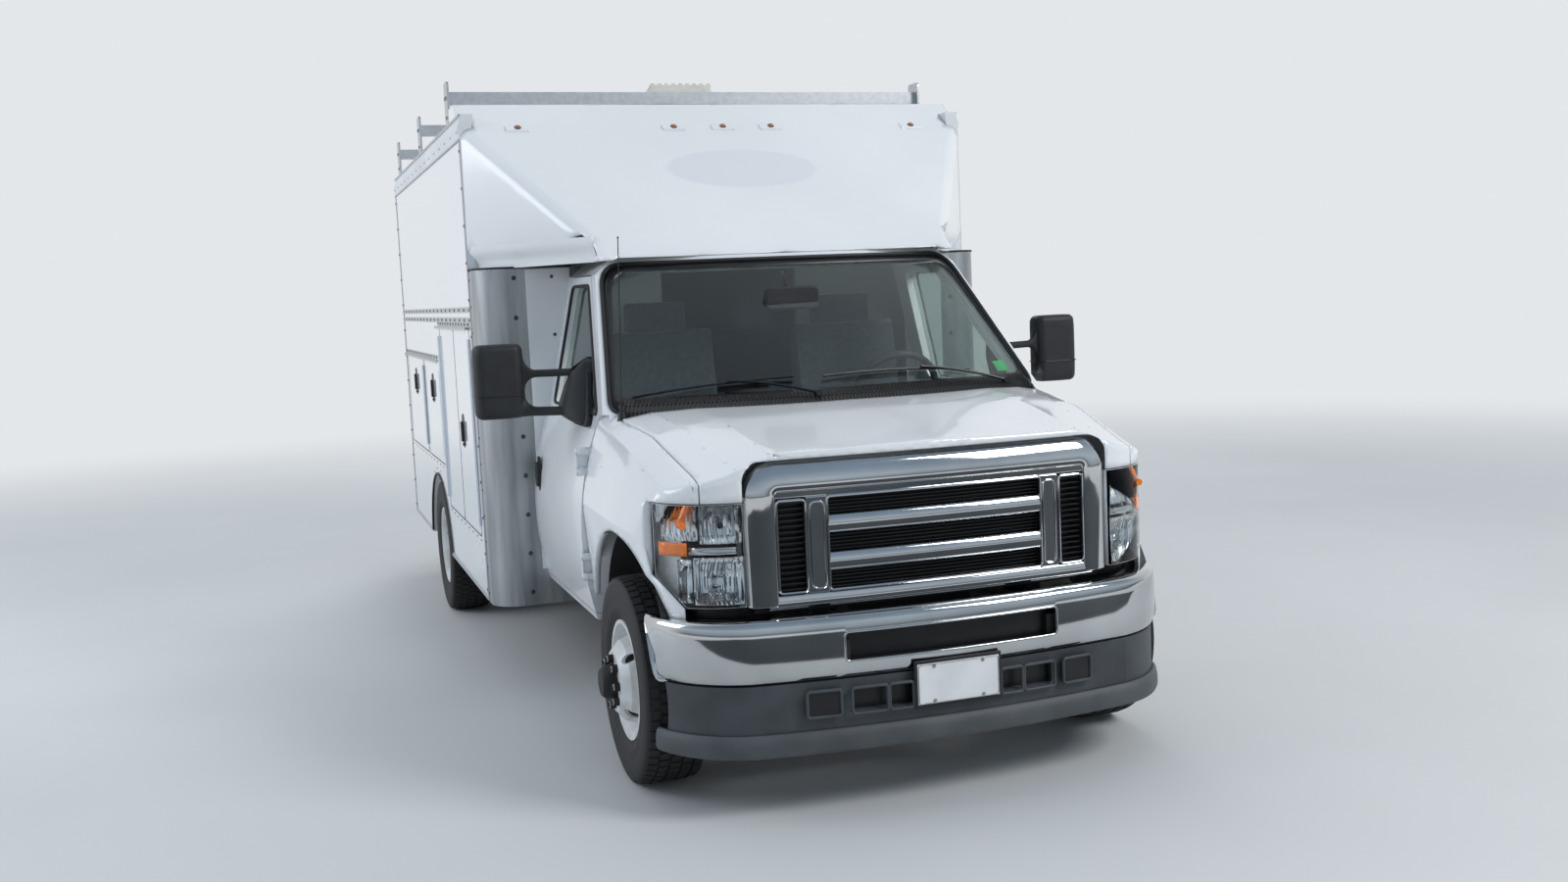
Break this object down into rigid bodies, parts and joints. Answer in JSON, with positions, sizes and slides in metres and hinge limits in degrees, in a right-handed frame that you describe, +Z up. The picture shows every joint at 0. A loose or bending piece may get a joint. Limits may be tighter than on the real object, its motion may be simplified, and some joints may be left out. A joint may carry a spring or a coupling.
{
  "type": "cutaway van",
  "caption": "Cutaway cab van with a white service body, raked nose cap over the cab, side lockers, rear doors, roof rack bars and twin rear wheels.",
  "frame": {"origin": "on the ground, under the middle of the van's overall length and width", "axes": "+X to the driver's side, which is the van's left, +Y to the rear, +Z up"},
  "size_m": [2.66, 5.953, 2.764],
  "materials": {
    "tyre_rubber": "matt moulded rubber",
    "wheel_paint": "white wheel paint, semi-gloss",
    "chassis_paint": "black chassis paint, satin",
    "cast_parts": "rough casting",
    "tank_plastic": "dark textured plastic",
    "cab_paint": "white gloss vehicle paint",
    "window_glass": "clear, faint green",
    "black_plastic": "black, fine texture",
    "lamp_lens": "clear lens over a bright reflector",
    "chrome_trim": "polished plating",
    "amber_lens": "amber moulded lens",
    "red_lens": "red moulded lens",
    "interior_plastic": "grey grained plastic",
    "seat_fabric": "grey woven cloth",
    "glassfibre": "white gelcoat",
    "body_paint": "white gloss paint on sheet",
    "mill_aluminium": "bare brushed sheet"
  },
  "bodies": {
    "van_body": {"frame_rails": "chassis_paint", "front_suspension": "chassis_paint", "rear_axle": "chassis_paint", "rear_bumper": "chassis_paint", "engine_block": "cast_parts", "driveline": "cast_parts", "fuel_tank": "tank_plastic", "front_valance": "tank_plastic", "grille_backing": "tank_plastic", "radiator_support": "tank_plastic", "cowl_panel": "tank_plastic", "cab_body": "cab_paint", "fenders": "cab_paint", "windscreen": "window_glass", "steering_wheel": "black_plastic", "headlamps": "lamp_lens", "grille_surround": "chrome_trim", "front_bumper": "chrome_trim", "marker_lamps": "amber_lens", "tail_lamps": "red_lens", "dashboard": "interior_plastic", "seats": "seat_fabric", "nose_cap": "glassfibre", "box_side_left": "body_paint", "box_side_right": "body_paint", "box_floor": "body_paint", "rear_frame": "body_paint", "bulkhead": "body_paint", "box_roof": "body_paint", "corner_wings": "mill_aluminium", "roof_rack": "mill_aluminium"},
    "knuckle_left": {"knuckle_left": "cast_parts"},
    "front_wheel_left": {"front_wheel_left": "wheel_paint", "front_tyre_left": "tyre_rubber"},
    "rear_wheels_left": {"rear_wheels_left": "wheel_paint", "rear_tyres_left": "tyre_rubber"},
    "cab_door_left": {"cab_door_left": "cab_paint", "door_glass_left": "window_glass", "mirror_left": "black_plastic"},
    "rear_door_left": {"rear_door_left": "body_paint"},
    "locker_door_1_left": {"locker_door_1_left": "body_paint"},
    "locker_door_2_left": {"locker_door_2_left": "body_paint"},
    "locker_door_3_left": {"locker_door_3_left": "body_paint"},
    "locker_door_4_left": {"locker_door_4_left": "body_paint"},
    "knuckle_right": {"knuckle_right": "cast_parts"},
    "front_wheel_right": {"front_wheel_right": "wheel_paint", "front_tyre_right": "tyre_rubber"},
    "rear_wheels_right": {"rear_wheels_right": "wheel_paint", "rear_tyres_right": "tyre_rubber"},
    "cab_door_right": {"cab_door_right": "cab_paint", "door_glass_right": "window_glass", "mirror_right": "black_plastic"},
    "rear_door_right": {"rear_door_right": "body_paint"},
    "locker_door_1_right": {"locker_door_1_right": "body_paint"},
    "locker_door_2_right": {"locker_door_2_right": "body_paint"},
    "locker_door_3_right": {"locker_door_3_right": "body_paint"},
    "locker_door_4_right": {"locker_door_4_right": "body_paint"},
    "hood": {"hood": "cab_paint"},
    "vent_lid": {"vent_lid": "glassfibre"}
  },
  "joints": [
    {"name": "steer_left", "type": "hinge", "parent": "van_body", "child": "knuckle_left", "pos_m": [0.762, -2.2865, 0.37], "axis": [0, 0, 1], "range_deg": [-32, 32]},
    {"name": "front_spin_left", "type": "hinge", "parent": "knuckle_left", "child": "front_wheel_left", "pos_m": [0.872, -2.2865, 0.37], "axis": [1, 0, 0], "continuous": true},
    {"name": "rear_spin_left", "type": "hinge", "parent": "van_body", "child": "rear_wheels_left", "pos_m": [1.097, 1.2185, 0.37], "axis": [1, 0, 0], "continuous": true},
    {"name": "cab_door_hinge_left", "type": "hinge", "parent": "van_body", "child": "cab_door_left", "pos_m": [1.014, -1.8595, 0.9], "axis": [0, 0, -1], "range_deg": [0, 68]},
    {"name": "locker_hinge_1_left", "type": "hinge", "parent": "van_body", "child": "locker_door_1_left", "pos_m": [1.2188, -0.513, 1.15], "axis": [0, 0, -1], "range_deg": [0, 90]},
    {"name": "locker_hinge_2_left", "type": "hinge", "parent": "van_body", "child": "locker_door_2_left", "pos_m": [1.2188, 0.7, 1.15], "axis": [0, 0, 1], "range_deg": [0, 90]},
    {"name": "locker_hinge_3_left", "type": "hinge", "parent": "van_body", "child": "locker_door_3_left", "pos_m": [1.2188, 0.757, 1.15], "axis": [0, 0, -1], "range_deg": [0, 90]},
    {"name": "locker_hinge_4_left", "type": "hinge", "parent": "van_body", "child": "locker_door_4_left", "pos_m": [1.2188, 1.647, 1.15], "axis": [0, 0, -1], "range_deg": [0, 90]},
    {"name": "rear_door_hinge_left", "type": "hinge", "parent": "van_body", "child": "rear_door_left", "pos_m": [0.7885, 2.7333, 1.5], "axis": [0, 0, -1], "range_deg": [0, 100]},
    {"name": "steer_right", "type": "hinge", "parent": "van_body", "child": "knuckle_right", "pos_m": [-0.762, -2.2865, 0.37], "axis": [0, 0, 1], "range_deg": [-32, 32]},
    {"name": "front_spin_right", "type": "hinge", "parent": "knuckle_right", "child": "front_wheel_right", "pos_m": [-0.872, -2.2865, 0.37], "axis": [1, 0, 0], "continuous": true},
    {"name": "rear_spin_right", "type": "hinge", "parent": "van_body", "child": "rear_wheels_right", "pos_m": [-1.097, 1.2185, 0.37], "axis": [1, 0, 0], "continuous": true},
    {"name": "cab_door_hinge_right", "type": "hinge", "parent": "van_body", "child": "cab_door_right", "pos_m": [-1.014, -1.8595, 0.9], "axis": [0, 0, 1], "range_deg": [0, 68]},
    {"name": "locker_hinge_1_right", "type": "hinge", "parent": "van_body", "child": "locker_door_1_right", "pos_m": [-1.2188, -0.513, 1.15], "axis": [0, 0, 1], "range_deg": [0, 90]},
    {"name": "locker_hinge_2_right", "type": "hinge", "parent": "van_body", "child": "locker_door_2_right", "pos_m": [-1.2188, 0.7, 1.15], "axis": [0, 0, -1], "range_deg": [0, 90]},
    {"name": "locker_hinge_3_right", "type": "hinge", "parent": "van_body", "child": "locker_door_3_right", "pos_m": [-1.2188, 0.757, 1.15], "axis": [0, 0, 1], "range_deg": [0, 90]},
    {"name": "locker_hinge_4_right", "type": "hinge", "parent": "van_body", "child": "locker_door_4_right", "pos_m": [-1.2188, 1.647, 1.15], "axis": [0, 0, 1], "range_deg": [0, 90]},
    {"name": "rear_door_hinge_right", "type": "hinge", "parent": "van_body", "child": "rear_door_right", "pos_m": [-0.7885, 2.7333, 1.5], "axis": [0, 0, 1], "range_deg": [0, 100]},
    {"name": "hood_hinge", "type": "hinge", "parent": "van_body", "child": "hood", "pos_m": [0, -2.0245, 1.284], "axis": [-1, 0, 0], "range_deg": [0, 45]},
    {"name": "vent_lid_hinge", "type": "hinge", "parent": "van_body", "child": "vent_lid", "pos_m": [0, 0.4555, 2.634], "axis": [-1, 0, 0], "range_deg": [-4, 35]}
  ],
  "couplings": [
    {"joint": "steer_right", "follows": "steer_left", "ratio": 1}
  ]
}
